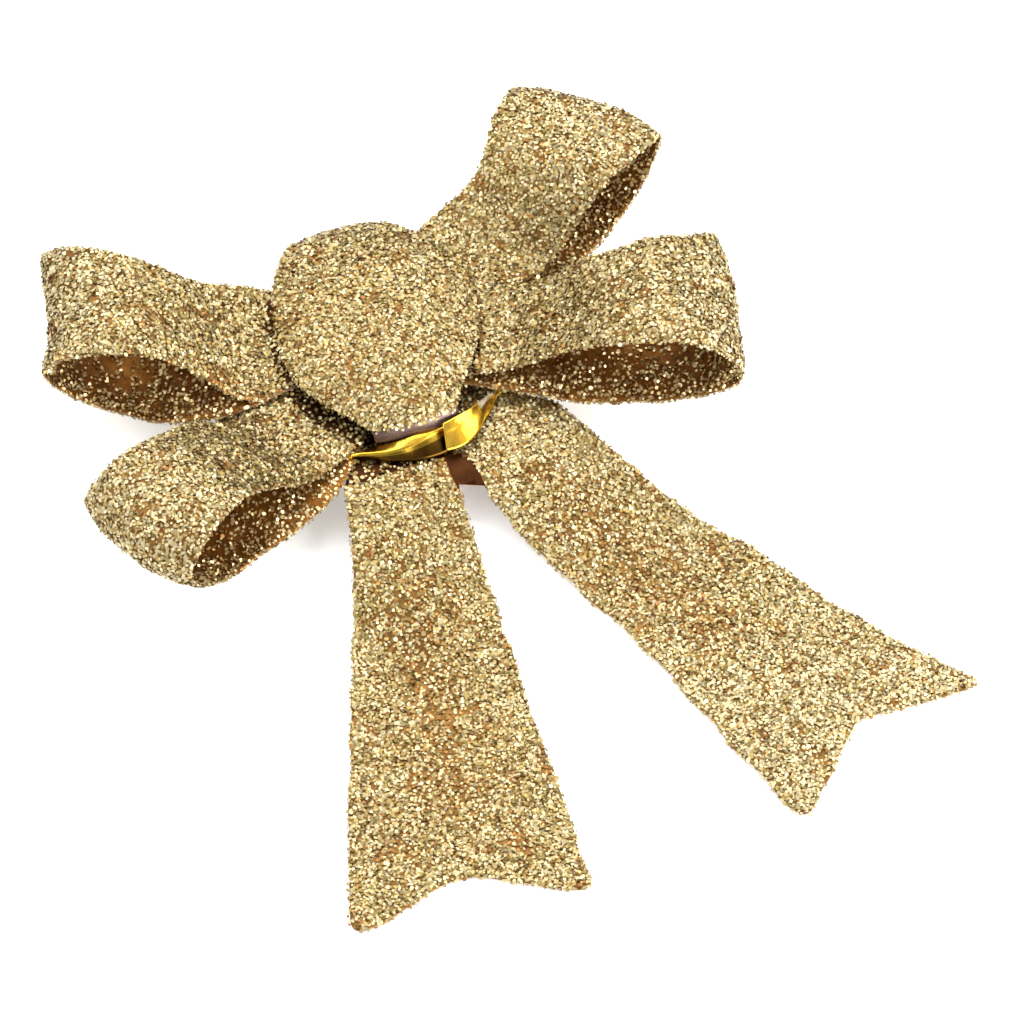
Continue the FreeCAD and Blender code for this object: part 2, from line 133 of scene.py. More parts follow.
# The foil strip's crease line, from the lapped end round the front, behind and
# back: its place, then how far the upper and the lower flap reach and fall.
FOIL_ROWS = [
    (3.4, -31.4, 14.9, 1.9, -1.6, 3.3, 2.1), (8.0, -31.2, 15.0, 2.2, -1.7, 3.7, 2.2),
    (13.5, -28.8, 14.2, 1.7, -1.1, 2.5, 1.5), (17.8, -25.8, 13.0, 1.0, -0.6, 1.5, 0.8),
    (21.6, -23.6, 12.0, 0.5, -0.2, 0.7, 0.3), (24.3, -22.9, 10.4, 1.4, 0, 1.4, 0),
    (21.5, -24.2, 9.2, 3.0, 0, 3.0, 0), (0.0, -28.0, 9.1, 3.2, 0, 3.2, 0),
    (-16.5, -26.3, 9.2, 2.2, 0, 2.2, 0), (-19.9, -25.3, 10.3, 0.9, 0, 0.9, 0),
    (-19.0, -25.8, 11.7, 0.5, 0.1, 0.6, 0.4), (-13.5, -28.2, 13.0, 2.1, 0.5, 0.9, 1.5),
    (-7.5, -30.1, 13.6, 2.2, -0.4, 1.9, 2.2), (-1.5, -29.9, 14.0, 1.6, -0.5, 3.9, 2.7),
    (2.6, -29.0, 14.0, 0.9, 0.1, 5.1, 2.9), (6.5, -28.8, 13.9, 0.8, 0.1, 5.1, 2.9)]
TIE_RADIUS = 0.35            # of the steel core under the foil

# Glitter: flakes to a square millimetre, or to a millimetre of cut edge.
FACE_DENSITY, LINING_DENSITY, BACK_DENSITY, RIM_DENSITY = 3.0, 1.5, 0.7, 1.9
FLAKE_RADIUS, FLAKE_SPREAD = 0.41, 0.18
SMALLEST_FLAKE, LARGEST_FLAKE = 0.25, 0.62
FLAKE_SIDES = 6
FLAKE_LIFT = 0.3             # how high the loosest flakes stand off the film
FACE_TILT, LINING_TILT, MOST_TILT = 0.42, 0.75, 1.25
MOST_FLAKES = 19000          # in one piece
PRESSED_Z = 0.03             # flakes under the tails lie flat against the surface
WORN_OFF = 0.42              # share of the flakes gone where the glitter is worn
WORN_COPPER = 0.3            # and share of copper ones there
KNOT_SHADE_OFF = 0.62            # share gone beside the knot, baring film painted dark as the knot's shade
LEFT_IN_FOIL_SHADE = 0.4           # share left below the foil tie, on film painted dark as its shadow
LINING_START = 14.0          # the loops' insides have no glitter nearer to the middle
TAIL_GLITTER_END = -18.0     # and the tails none further back, under the bundle
NOSE_SHEEN, LINING_LIGHT = 0.4, 0.75     # share of the palest tone in a loop: painted sheen on the noses, painted light inside
# The tails' pale share, growing towards their ends, is painted sheen.
TAIL_END_SHEEN = {"left": 0.05, "right": 0.3}
CREAM, COPPER, LIT_CREAM = 0, 4, 5        # places in GLITTER, the list of tones


# ---- numbers ----
def smooth_line(rows, count, closed, axes=2):
    """Cubic spline through rows of numbers. Its first few columns are a place, and
    the samples are evenly spaced along that."""
    rows = np.array(rows, float)
    if closed:
        rows = np.vstack([rows, rows[:1]])
    step = np.linalg.norm(np.diff(rows[:, :axes], axis=0), axis=1)
    knot = np.concatenate([[0.0], np.cumsum(step)])
    last = len(rows) - 1
    system = np.zeros((last + 1, last + 1))
    target = np.zeros(rows.shape)
    slope = np.diff(rows, axis=0) / step[:, None]
    for i in range(1, last):
        system[i, i - 1:i + 2] = step[i - 1], 2 * (step[i - 1] + step[i]), step[i]
        target[i] = 6 * (slope[i] - slope[i - 1])
    if closed:
        system[0, 0], system[0, last] = 1, -1
        system[last, :2] = 2 * step[0], step[0]
        system[last, last - 1:] = step[-1], 2 * step[-1]
        target[last] = 6 * (slope[0] - slope[-1])
    else:
        system[0, 0] = system[last, last] = 1
    bend = np.linalg.solve(system, target)
    places = np.linspace(0, knot[-1], count, endpoint=not closed)
    i = np.clip(np.searchsorted(knot, places, side="right") - 1, 0, last - 1)
    h = step[i][:, None]
    after = (knot[i + 1] - places)[:, None]
    before = (places - knot[i])[:, None]
    curved = (bend[i] * after**3 + bend[i + 1] * before**3) / (6 * h)
    straight = (rows[i] / h - bend[i] * h / 6) * after
    return curved + straight + (rows[i + 1] / h - bend[i + 1] * h / 6) * before


def ripple(x, y, seed, wavelength, amplitude):
    """A gentle uneven wave over two coordinates, as in handled film."""
    dice = np.random.default_rng(seed)
    total = np.zeros(np.broadcast(x, y).shape)
    waves = 7
    for _ in range(waves):
        turn = dice.uniform(0, 2 * math.pi)
        pitch = 2 * math.pi / (wavelength * dice.uniform(0.6, 1.7))
        phase = dice.uniform(0, 2 * math.pi)
        total += np.sin(pitch * (x * math.cos(turn) + y * math.sin(turn)) + phase)
    return amplitude * total / math.sqrt(waves / 2) / 1.4


def full_turn(count):
    """Evenly spaced angles once round."""
    return 2 * math.pi * np.arange(count) / count


def circles(first, second, count):
    """Points evenly round a unit circle for each pair of directions."""
    turns = full_turn(count)[:, None]
    return first[:, None] * np.cos(turns) + second[:, None] * np.sin(turns)


def ease(x, low, high):
    """0 below low, 1 above high, and smooth between."""
    t = np.clip((x - low) / (high - low), 0, 1)
    return t * t * (3 - 2 * t)


def grid_normals(grid, closed):
    """Unit normals of a grid of points, on the side that faces outwards."""
    if closed:
        along = np.roll(grid, -1, 0) - np.roll(grid, 1, 0)
    else:
        along = np.gradient(grid, axis=0)
    normal = np.cross(np.gradient(grid, axis=1), along)
    return normal / np.linalg.norm(normal, axis=2, keepdims=True)


# ---- meshes ----
def add_object(name, data):
    thing = bpy.data.objects.new(name, data)
    bpy.context.scene.collection.objects.link(thing)
    return thing


def mesh_piece(name, points, faces, materials, face_slots=None, smooth=True):
    """A mesh object from millimetre points and a list of face index arrays. smooth is
    one flag, or one for each face."""
    points = np.asarray(points, float).reshape(-1, 3) * MM + ORIGIN
    sizes = np.concatenate([np.full(len(f), f.shape[1]) for f in faces])
    corners = np.concatenate([f.ravel() for f in faces]).astype(np.int32)
    mesh = bpy.data.meshes.new(name)
    mesh.vertices.add(len(points))
    mesh.vertices.foreach_set("co", points.astype(np.float32).ravel())
    mesh.loops.add(len(corners))
    mesh.loops.foreach_set("vertex_index", corners)
    mesh.polygons.add(len(sizes))
    starts = np.concatenate([[0], np.cumsum(sizes)[:-1]]).astype(np.int32)
    mesh.polygons.foreach_set("loop_start", starts)
    mesh.polygons.foreach_set("use_smooth", np.full(len(sizes), smooth))
    for material in materials:
        mesh.materials.append(material)
    if face_slots is not None:
        mesh.polygons.foreach_set("material_index", np.asarray(face_slots, np.int32))
    mesh.update(calc_edges=True)
    mesh.validate()
    return add_object(name, mesh)


def quads(first, second, third, fourth):
    return np.stack([a.ravel() for a in (first, second, third, fourth)], 1)


def stack_faces(rings, around, start=0, downwards=False):
    """The walls and two caps of a stack of rings of points, from its first ring up, or
    down from its top."""
    index = start + np.arange(rings * around).reshape(rings, around)
    index = np.hstack([index, index[:, :1]])
    a, b, c, d = index[:-1, :-1], index[:-1, 1:], index[1:, 1:], index[1:, :-1]
    first, last = index[:1, :-1], index[-1:, :-1]
    if downwards:
        return [quads(a, d, c, b), first, last[:, ::-1]]
    return [quads(a, b, c, d), first[:, ::-1], last]


def strip_shell(name, grid, closed, thickness, materials, outer_slots):
    """A thin closed shell round a grid: its own slots outside, 1 inside, 2 on cut edges."""
    rows, columns = grid.shape[:2]
    normal = grid_normals(grid, closed)
    outer, inner = grid + normal * thickness / 2, grid - normal * thickness / 2
    index = np.arange(rows * columns).reshape(rows, columns)
    if closed:
        index = np.vstack([index, index[:1]])
    shift = rows * columns
    a, b, c, d = index[:-1, :-1], index[1:, :-1], index[1:, 1:], index[:-1, 1:]
    outside = quads(a, d, c, b)
    inside = quads(a, b, c, d) + shift
    left, right = index[:, 0], index[:, -1]
    rims = [quads(left[:-1], left[1:], left[1:] + shift, left[:-1] + shift),
            quads(right[1:], right[:-1], right[:-1] + shift, right[1:] + shift)]
    if not closed:
        start, end = index[0], index[-1]
        rims.append(quads(start[1:], start[:-1], start[:-1] + shift, start[1:] + shift))
        rims.append(quads(end[:-1], end[1:], end[1:] + shift, end[:-1] + shift))
    rims = np.vstack(rims)
    slots = np.concatenate([outer_slots, np.full(len(inside), 1), np.full(len(rims), 2)])
    return mesh_piece(name, np.vstack([outer.reshape(-1, 3), inner.reshape(-1, 3)]),
                      [outside, inside, rims], materials, slots)


# ---- glitter ----
def unit(vectors):
    return vectors / np.maximum(np.linalg.norm(vectors, axis=-1, keepdims=True), 1e-9)


def round_again(grid):
    """A ring of points and its normals, with the first row once more at the end."""
    return [np.concatenate([field, field[:1]]) for field in (grid, grid_normals(grid, True))]


def scatter_on_grid(grid, density, side, dice):
    """Random places on one face of a ring, evenly spread, and the outward directions."""
    grid, normal = round_again(grid)
    across = np.linalg.norm(grid[:-1, 1:] - grid[:-1, :-1], axis=2)
    along = np.linalg.norm(grid[1:, :-1] - grid[:-1, :-1], axis=2)
    count = np.floor(across * along * density + dice.random(across.shape)).astype(int)
    row, column = np.repeat(np.indices(count.shape).reshape(2, -1), count.ravel(), axis=1)
    s, t = dice.random(len(row))[:, None], dice.random(len(row))[:, None]

    def blend(field):
        near = field[row, column] * (1 - t) + field[row, column + 1] * t
        far = field[row + 1, column] * (1 - t) + field[row + 1, column + 1] * t
        return near * (1 - s) + far * s

    direction = unit(blend(normal)) * side
    return blend(grid) + direction * FILM / 2, direction


def scatter_on_line(line, face, outward, dice):
    """Random places along a cut edge, with directions from the face round to the back."""
    step = np.linalg.norm(np.diff(line, axis=0), axis=1)
    count = np.floor(step * RIM_DENSITY + dice.random(len(step))).astype(int)
    index = np.repeat(np.arange(len(step)), count)
    t = dice.random(len(index))[:, None]
    place = line[index] * (1 - t) + line[index + 1] * t
    turn = dice.uniform(-0.2, 2.3, (len(index), 1))
    direction = unit(face[index] * np.cos(turn) + outward[index] * np.sin(turn))
    return place + outward[index] * dice.uniform(-0.15, 0.3, (len(index), 1)), direction


def scatter_on_rims(grid, dice):
    """Glitter on both cut edges of a ring."""
    grid, normal = round_again(grid)
    lots = []
    for rim, inner in ((0, 1), (-1, -2)):
        outward = unit(grid[:, rim] - grid[:, inner])
        lots.append(scatter_on_line(grid[:, rim], normal[:, rim], outward, dice))
    return join_lots(lots)


def join_lots(lots):
    return tuple(np.vstack(group) for group in zip(*lots))


def wear(place):
    """0 where the glitter is whole and 1 in small patches where it has rubbed thin."""
    x, y = place[:, 0] + 0.7 * place[:, 2], place[:, 1]
    return ease(ripple(x, y, 61, 15, 1.0) + ripple(x, y, 62, 5, 0.9), 0.5, 2.2)


def flake_pieces(name, place, direction, dice, pale=0, worn=0, tilt=FACE_TILT,
                 pale_tone=CREAM):
    """Loose hexagonal glitter flakes, each a closed shallow pyramid seen from its base.
    pale is the share of them, at each place, that turn to pale_tone, which the callers
    use for painted sheen and painted light, and worn adds to the worn patches."""
    pale = np.broadcast_to(pale, len(place))
    thin = np.clip(wear(place) + worn, 0, 1)
    keep = dice.random(len(place)) > WORN_OFF * thin
    place, direction, thin, pale = place[keep], direction[keep], thin[keep], pale[keep]
    count = len(place)
    lean = np.clip(np.abs(dice.normal(0, tilt, (count, 1))), 0, MOST_TILT)
    sideways = unit(np.cross(direction, dice.normal(size=(count, 3))))
    face = direction * np.cos(lean) + sideways * np.sin(lean)
    first = unit(np.cross(face, dice.normal(size=(count, 3))))
    second = np.cross(face, first)
    radius = dice.lognormal(math.log(FLAKE_RADIUS), FLAKE_SPREAD, (count, 1))
    radius = np.clip(radius, SMALLEST_FLAKE, LARGEST_FLAKE)
    centre = place + direction * (0.05 + FLAKE_LIFT * dice.random((count, 1)))
    centre += direction * 0.45 * radius * np.sin(lean)
    rim = circles(first, second, FLAKE_SIDES) * radius[:, None]
    rim = rim * dice.uniform(0.8, 1.12, (count, FLAKE_SIDES, 1))
    apex = centre - face * radius * dice.uniform(0.35, 0.7, (count, 1))
    points = np.concatenate([centre[:, None] + rim, apex[:, None]], 1)
    points[..., 2] = np.maximum(points[..., 2], PRESSED_Z)
    tone = dice.choice(len(FLAKES), count, p=SHARES)
    tone[dice.random(count) < pale] = pale_tone
    tone[dice.random(count) < WORN_COPPER * thin] = COPPER
    pieces = []
    lots = math.ceil(count / MOST_FLAKES)
    for lot, chosen in enumerate(np.array_split(np.arange(count), lots)):
        base = np.arange(len(chosen))[:, None] * (FLAKE_SIDES + 1)
        ring = np.arange(FLAKE_SIDES)
        tip = np.broadcast_to(base + FLAKE_SIDES, (len(chosen), FLAKE_SIDES))
        sides = np.stack([base + np.roll(ring, -1), base + ring, tip], 2)
        slots = np.concatenate([tone[chosen], np.repeat(tone[chosen], FLAKE_SIDES)])
        lot_name = name if lots == 1 else f"{name}_{lot + 1}"
        pieces.append(mesh_piece(lot_name, points[chosen], [base + ring, sides.reshape(-1, 3)],
                                 FLAKES, slots, smooth=False))
    return pieces


# ---- materials ----
def new_material(name, colour, metallic, roughness):
    material = bpy.data.materials.new(name)
    material.use_nodes = True
    shader = material.node_tree.nodes["Principled BSDF"]
    shader.inputs["Base Color"].default_value = (*colour, 1)
    shader.inputs["Metallic"].default_value = metallic
    shader.inputs["Roughness"].default_value = roughness
    return material, material.node_tree, shader


def add_node(tree, kind, **values):
    node = tree.nodes.new(kind)
    for key, value in values.items():
        if key in node.inputs:
            node.inputs[key].default_value = value
        else:
            setattr(node, key, value)
    return node


def noise(tree, scale, detail=3.0, roughness=0.55, stretch=(1, 1, 1)):
    """A noise factor over the object's own coordinates in metres, stretched."""
    source = add_node(tree, "ShaderNodeTexCoord")
    mapping = add_node(tree, "ShaderNodeMapping", Scale=stretch)
    node = add_node(tree, "ShaderNodeTexNoise", Scale=scale, Detail=detail, Roughness=roughness)
    tree.links.new(source.outputs["Object"], mapping.inputs["Vector"])
    tree.links.new(mapping.outputs["Vector"], node.inputs["Vector"])
    return node.outputs["Fac"]


def tint(tree, shader, factor, stops):
    """Colours a shader by a 0 to 1 factor."""
    node = add_node(tree, "ShaderNodeValToRGB")
    elements = node.color_ramp.elements
    while len(elements) < len(stops):
        elements.new(0.5)
    for element, (place, colour) in zip(elements, stops):
        element.position = place
        element.color = (*colour, 1)
    tree.links.new(factor, node.inputs["Fac"])
    tree.links.new(node.outputs["Color"], shader.inputs["Base Color"])


def gloss(tree, shader, factor, low, high):
    """Lets a 0 to 1 factor move the roughness from low to high."""
    node = add_node(tree, "ShaderNodeMapRange", **{"To Min": low, "To Max": high})
    tree.links.new(factor, node.inputs["Value"])
    tree.links.new(node.outputs["Result"], shader.inputs["Roughness"])


def bump(tree, shader, height, strength, distance):
    node = add_node(tree, "ShaderNodeBump", Strength=strength, Distance=distance)
    tree.links.new(height, node.inputs["Height"])
    tree.links.new(node.outputs["Normal"], shader.inputs["Normal"])


def film_material(name, dark, middle, light, metallic, roughness):
    """Metallised film under the glitter: cloudy colour, tiny dents, uneven gloss."""
    material, tree, shader = new_material(name, middle, metallic, roughness)
    clouds = noise(tree, 160, 4)
    fine = noise(tree, 1500)
    tint(tree, shader, clouds, [(0.28, dark), (0.52, middle), (0.78, light)])
    gloss(tree, shader, fine, roughness - 0.12, roughness + 0.14)
    bump(tree, shader, fine, 0.5, 0.00012)
    return material


def flake_material(name, colour, roughness):
    """One tone of metallised glitter, lightly scuffed. Its colour is the flake's own."""
    material, tree, shader = new_material(name, colour, 1.0, roughness)
    scuff = noise(tree, 2600, 2)
    gloss(tree, shader, scuff, roughness - 0.1, roughness + 0.16)
    bump(tree, shader, scuff, 0.35, 0.00006)
    return material


def foil_material(name, dark, light):
    """Gold foil with fine handling creases."""
    material, tree, shader = new_material(name, light, 1.0, 0.16)
    clouds = noise(tree, 220, stretch=(1.0, 0.35, 1.0))
    creases = noise(tree, 520, 3, 0.6, (1.0, 0.15, 0.6))
    tint(tree, shader, clouds, [(0.3, dark), (0.7, light)])
    gloss(tree, shader, creases, 0.12, 0.26)
    bump(tree, shader, creases, 0.22, 0.00020)
    return material


def plated_material(name, colour, roughness):
    """Plated or drawn metal: faint lines along it and smudges of duller metal."""
    material, tree, shader = new_material(name, colour, 1.0, roughness)
    lines = noise(tree, 3.0, stretch=(60, 900, 900))
    smudge = noise(tree, 260)
    dull = tuple(0.72 * c for c in colour)
    tint(tree, shader, smudge, [(0.35, dull), (0.6, colour)])
    gloss(tree, shader, smudge, roughness - 0.08, roughness + 0.14)
    bump(tree, shader, lines, 0.25, 0.00005)
    return material


def felt_material():
    material, tree, shader = new_material("felt_fibres", (0.25, 0.15, 0.06), 0.0, 0.95)
    fibres = noise(tree, 1400, 5, 0.7, (1.0, 3.0, 1.0))
    mottle = noise(tree, 300)
    tint(tree, shader, mottle, [(0.3, (0.17, 0.095, 0.035)), (0.7, (0.33, 0.21, 0.09))])
    shader.inputs["Sheen Weight"].default_value = 0.4
    bump(tree, shader, fibres, 0.8, 0.0003)
    return material


def glue_material():
    material, tree, shader = new_material("hot_melt", (0.75, 0.66, 0.42), 0.0, 0.35)
    cloud = noise(tree, 500)
    tint(tree, shader, cloud, [(0.3, (0.62, 0.52, 0.30)), (0.7, (0.82, 0.75, 0.55))])
    bump(tree, shader, cloud, 0.3, 0.0002)
    return material


FILM_OUT = film_material("glitter_film_face", (0.10, 0.042, 0.007), (0.170, 0.080, 0.017),
                         (0.26, 0.13, 0.032), 0.8, 0.45)
FILM_IN = film_material("dark_film_back", (0.120, 0.040, 0.005), (0.195, 0.075, 0.010),
                        (0.290, 0.122, 0.018), 0.85, 0.5)
FILM_EDGE = film_material("cut_film_edge", (0.26, 0.15, 0.08), (0.38, 0.25, 0.15),
                          (0.50, 0.37, 0.24), 0.3, 0.45)
# The fold's greyish mauve is brown bare film with its sheen painted into the colour.
FILM_FOLD_SHEEN = film_material("bare_film_fold_sheen", (0.055, 0.030, 0.024), (0.10, 0.060, 0.050),
                          (0.17, 0.11, 0.095), 0.6, 0.34)
# Near-black film: bare film painted dark as shade, between the tail roots, below the foil and beside
# the knot.
FILM_PAINTED_SHADE = film_material("bare_film_painted_shade", (0.019, 0.0044, 0.0003), (0.034, 0.0092, 0.0007),
                         (0.057, 0.018, 0.0016), 0.9, 0.42)
FOIL = foil_material("gold_foil", (0.66, 0.34, 0.018), (0.88, 0.58, 0.075))
# The olive and brown foils are painted shade on the lower flap; the pale foil is a painted
# highlight.
FOIL_OLIVE_SHADE = foil_material("olive_foil_shade", (0.15, 0.088, 0.008), (0.27, 0.17, 0.018))
FOIL_BROWN_SHADE = foil_material("brown_foil_shade", (0.036, 0.016, 0.003), (0.085, 0.042, 0.007))
FOIL_HIGHLIGHT = foil_material("pale_foil_highlight", (0.86, 0.80, 0.62), (0.95, 0.92, 0.84))
FOIL_MATERIALS = [FOIL, FOIL, FOIL_OLIVE_SHADE, FOIL_OLIVE_SHADE, FOIL_BROWN_SHADE, FOIL_HIGHLIGHT]
OLIVE_SHADE_SLOT, BROWN_SHADE_SLOT, HIGHLIGHT_SLOT = 3, 4, 5
SHEET_MATERIALS = [FILM_OUT, FILM_IN, FILM_EDGE, FILM_FOLD_SHEEN, FILM_PAINTED_SHADE]
FACE, BACK, EDGE, FOLD, SHADE_SLOT = range(5)
NICKEL = plated_material("nickel_plate", (0.62, 0.60, 0.57), 0.24)
STEEL = plated_material("drawn_steel", (0.48, 0.47, 0.46), 0.32)

# The tones of glitter: name, colour, roughness and share. The bright one is a
# lit copy of cream, painted light, only inside the loops where shade falls.
GLITTER = [
    ("cream", (0.535, 0.46, 0.275), 0.42, 0.25),
    ("pale_gold", (0.438, 0.348, 0.171), 0.44, 0.32),
    ("gold", (0.348, 0.251, 0.094), 0.44, 0.24),
    ("olive_gold", (0.248, 0.191, 0.067), 0.46, 0.14),
    ("copper", (0.25, 0.125, 0.038), 0.42, 0.05),
    ("bright", (0.82, 0.66, 0.36), 0.40, 0.0)]
FLAKES = [flake_material("glitter_" + name, *look) for name, *look, share in GLITTER]
SHARES = [row[-1] for row in GLITTER]


# ---- loops ----
def loop_rows(loop, sign, bottom, flats):
    """One loop's stations, from the knot out along the bottom and back along the top:
    distance from the knot, height, near edge, far edge, drop, slant and arch. flats is
    how far the loop lies flat below and above."""
    top = bottom + LAYER
    reach, belly, crown, nose = loop["reach"], loop["belly"], loop["crown"], loop["nose"]
    slant, bulge = loop["slant"], loop["bulge"]
    under, over = flats
    low, high = reach - under, reach - over
    root, sag, hollow, chin, tip, brow, ridge, swell, throat, neck = loop["edges"]
    pinched = (-12.0, 12.0, 0)
    rows = [
        (0.45 * under, bottom, pinched, 0, 0),
        (0.90 * under, bottom, root, 0, 0),
        (under + 0.20 * low, 0.68 * bottom + 0.32 * belly, sag, 0.1, 0.3),
        (under + 0.60 * low, belly, hollow, 0.6, 0.5),
        (under + 0.87 * low, belly + 0.27 * (nose - belly), chin, 1, 0.6 * bulge),
        (reach, nose, tip, 1, bulge),
        (over + 0.90 * high, crown - 0.22 * (crown - nose), brow, 0.9, 0.4 + 0.4 * bulge),
        (over + 0.68 * high, crown, ridge, 0.6, 1.2),
        (over + 0.36 * high, top + 0.50 * (crown - top), swell, 0.2, 1.0),
        (over + 0.09 * high, top + 0.06 * (crown - top), throat, 0, 0.3),
        (0.75 * over, top, neck, 0, 0),
        (0.35 * over, top, pinched, 0, 0),
    ]
    return [(sign * u, z, near, far, drop, sign * share * slant, arch)
            for u, z, (near, far, drop), share, arch in rows]


def turned(u, v, angle):
    return u * math.cos(angle) - v * math.sin(angle), u * math.sin(angle) + v * math.cos(angle)


def arched(along, height, arch, across, turn):
    """Moves points outwards from a closed profile, most in the middle of the strip."""
    run = np.roll(along, -1, 0) - np.roll(along, 1, 0)
    rise = np.roll(height, -1, 0) - np.roll(height, 1, 0)
    length = np.hypot(run, rise)
    lift = arch * (1 - np.abs(across) ** 2.4) * turn
    return along + lift * rise / length, height - lift * run / length


def band_grid(angle, bottom, right, left, flats, seed):
    """A loop band's middle surface, a closed ring of rows of points across the ribbon."""
    rows = loop_rows(LOOPS[right], 1, bottom, flats)
    rows += loop_rows(LOOPS[left], -1, bottom, flats)[::-1]
    u, z, near, far, drop, slant, arch = smooth_line(rows, ROWS, True).T[:, :, None]
    across = np.linspace(-1, 1, COLUMNS)[None, :]
    v = near + (far - near) * (across + 1) / 2
    along, height = arched(u, z, arch, across, 1)
    along = along + slant * v
    height = height - drop * (1 - across) / 2
    x, y = turned(along, v, angle)
    grid = np.stack([x, y, height], 2)
    loose = ease(np.abs(u), 26, 44)
    place = full_turn(ROWS)[:, None]
    radius = BAND_LENGTH / (2 * math.pi)
    ring_x, ring_y = radius * np.cos(place), radius * np.sin(place)
    wave = ripple(ring_x, v + ring_y, seed, 24, 0.45) + ripple(ring_x, v + ring_y, seed + 1, 9, 0.16)
    return grid + grid_normals(grid, True) * (wave * loose)[:, :, None]


def tuck_under(grid, over_grid, over_angle):
    """Presses a band down where the bottom layer of the other band crosses over it."""
    u_over, v_over = turned(over_grid[..., 0], over_grid[..., 1], -over_angle)
    middle = over_grid.shape[1] // 2
    is_bottom = np.gradient(u_over[:, middle]) > 0
    order = np.argsort(u_over[is_bottom, middle])

    def along(values):
        return np.interp(u, u_over[is_bottom, middle][order], values[is_bottom][order])

    u, v = turned(grid[..., 0], grid[..., 1], -over_angle)
    near, far = along(v_over[:, 0]), along(v_over[:, -1])
    slope = (along(over_grid[:, -1, 2]) - along(over_grid[:, 0, 2])) / (far - near)
    centre, half = (near + far) / 2, (far - near) / 2
    limit = along(over_grid[:, middle, 2]) + slope * (v - centre) - BAND_GAP
    inside = 1 - ease(np.abs(v - centre) - half, 0.5, 7.0)
    inside *= 1 - ease(np.abs(u), 52, 62)
    pressed = grid.copy()
    pressed[..., 2] -= np.maximum(grid[..., 2] - limit, 0) * inside
    return pressed


def inside_outline(x, y, outline):
    """True where a point is inside a closed list of corners."""
    result = np.zeros(np.shape(x), bool)
    for (x0, y0), (x1, y1) in zip(outline, outline[1:] + outline[:1]):
        crosses = (y0 > y) != (y1 > y)
        reach = (x1 - x0) * (y - y0) / (y1 - y0 + 1e-12) + x0
        result ^= crosses & (x < reach)
    return result


def strip_footprint(angle, half, length):
    corners = [(-length, -half), (length, -half), (length, half), (-length, half)]
    return [turned(u, v, angle) for u, v in corners]


def loop_glitter(name, grid, angle, other_angle, covered_side, seed):
    """Glitter on a loop band, thick outside and thinner inside, in pieces for each loop.
    covered_side is 1 where the other band lies over this one, and -1 under it. Flakes
    between the bands or under the knot are left out, and inside a loop they thin out
    away from its near edge."""
    dice = np.random.default_rng(seed)
    crossing = strip_footprint(other_angle, 11.0, 33.0)
    under_knot = knot_outline(-3.0)
    pieces = []
    for face, side, density, tilt, pale_tone in (
            ("face", 1, FACE_DENSITY, FACE_TILT, CREAM),
            ("lining", -1, LINING_DENSITY, LINING_TILT, LIT_CREAM)):
        lots = [scatter_on_grid(grid, density, side, dice)]
        on_face = len(lots[0][0])
        if side > 0:
            lots.append(scatter_on_rims(grid, dice))
        place, direction = join_lots(lots)
        x, y = place[:, :2].T
        u, v = turned(x, y, -angle)
        hidden = inside_outline(x, y, under_knot)
        # Beside the knot flakes thin out over film painted dark as the knot's shade.
        hidden |= knot_shade_line(x, y) & (dice.random(len(place)) < KNOT_SHADE_OFF)
        if side < 0:
            hidden |= np.abs(u) < LINING_START
            hidden |= dice.random(len(place)) > 0.45 + 0.55 * ease(-v, 5, 15)
        covered = inside_outline(x, y, crossing) & (np.abs(u) < 40)
        covered &= np.arange(len(place)) < on_face
        hidden |= covered & (direction[:, 2] * covered_side > 0)
        for part, keep in (("right", u > 0), ("left", u <= 0)):
            keep = keep & ~hidden
            # Pale noses are painted sheen; the bright tone inside the loops is painted light.
            pale = NOSE_SHEEN * ease(np.abs(u[keep]), 50, 80) if side > 0 else LINING_LIGHT
            pieces += flake_pieces(f"{name}_{part}_{face}", place[keep], direction[keep], dice, pale,
                                   tilt=tilt, pale_tone=pale_tone)
    return pieces


# ---- knot ----
def knot_grid(seed):
    """The knot strip's middle surface, a ring of rows of points, turned into its place."""
    line = smooth_line(KNOT_ROWS, 190, True)
    y, z, left, right, dome = line.T[:, :, None]
    across = np.linspace(-1, 1, 45)[None, :]
    x_local = left + (right - left) * (across + 1) / 2
    y_local, height = arched(y, z, dome, across, -1)
    x, y = turned(x_local, y_local, KNOT_TURN)
    grid = np.stack([x + KNOT_CENTRE[0], y + KNOT_CENTRE[1], height], 2)
    wave = ripple(x_local, y_local, seed, 17, 0.3) * ease(height, BARE_FOLD_Z, BARE_FOLD_Z + 2.0)
    return grid + grid_normals(grid, True) * wave[:, :, None]


def knot_outline(margin):
    """Plan outline of the knot's face, moved outwards by a margin."""
    rows = sorted(row for row in KNOT_ROWS if row[1] > 15)
    corners = [(right + margin, y) for y, z, left, right, dome in rows]
    corners += [(left - margin, y) for y, z, left, right, dome in reversed(rows)]
    outline = []
    for x, y in corners:
        x, y = turned(x, y * (1 + margin / 30), KNOT_TURN)
        outline.append((x + KNOT_CENTRE[0], y + KNOT_CENTRE[1]))
    return outline


def knot_shade_line(x, y):
    """The line beside the knot where the loops' glitter thins out and their film is painted dark as
    the knot's shade.
    """
    return inside_outline(x + 0.8, y + 1.0, knot_outline(1.7))


def knot_shade_slots(grid):
    """Film painted dark as the knot's shade on a loop band beside the knot, and glittered film
    elsewhere.
    """
    middle = (grid[:, :-1] + grid[:, 1:]) / 2
    return np.where(knot_shade_line(middle[..., 0], middle[..., 1]), SHADE_SLOT, FACE).ravel()


